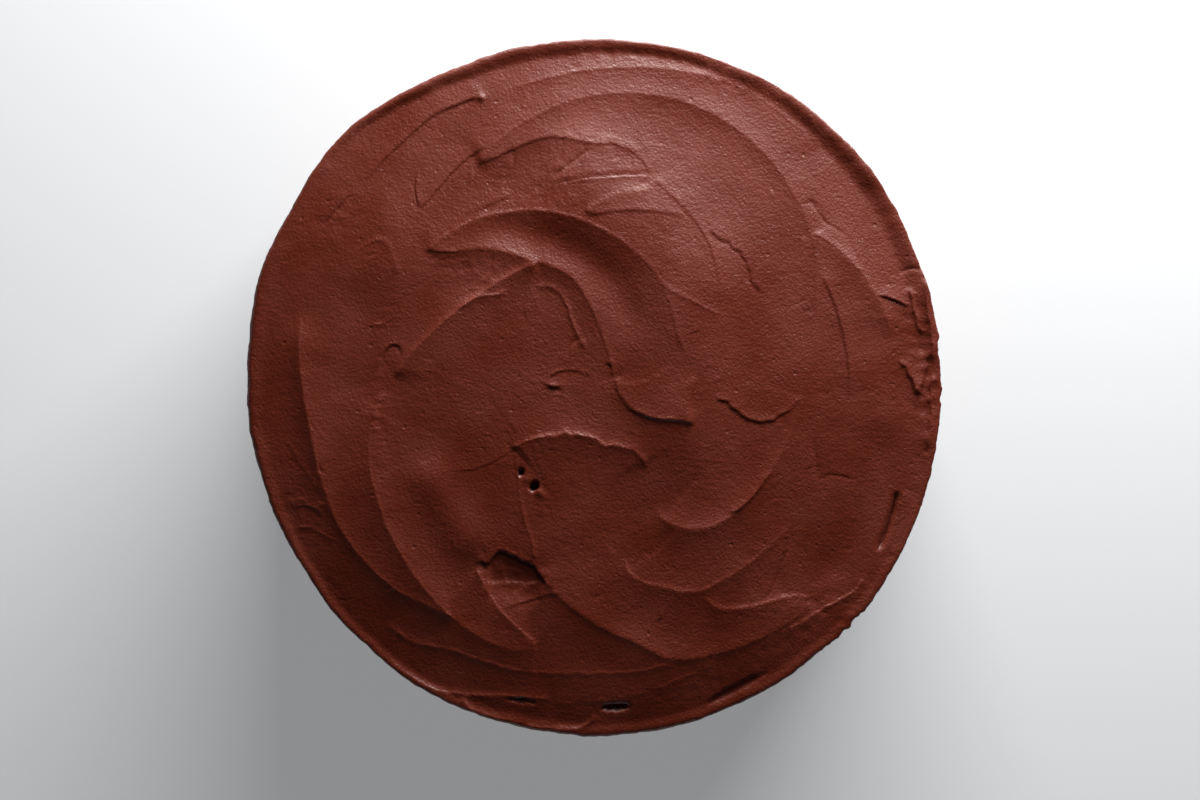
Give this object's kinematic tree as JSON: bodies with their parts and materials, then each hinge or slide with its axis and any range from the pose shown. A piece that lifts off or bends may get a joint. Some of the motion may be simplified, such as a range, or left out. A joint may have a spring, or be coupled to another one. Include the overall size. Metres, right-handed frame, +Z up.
{
  "type": "chocolate birthday cake",
  "caption": "Round layer cake covered all over in chocolate frosting, its top spread in overlapping spatula swirls inside a low uneven rim",
  "frame": {"origin": "middle of the cake's flat foot, on the surface it stands on", "axes": "+Z up out of the top, +X to the right and +Y away from the viewer as the top is seen from straight above"},
  "size_m": [0.2148, 0.2148, 0.0858],
  "materials": {
    "chocolate_frosting": "dark brown chocolate frosting, satin, spread with a spatula"
  },
  "bodies": {
    "root": {"frosted_cake": "chocolate_frosting"}
  },
  "joints": []
}
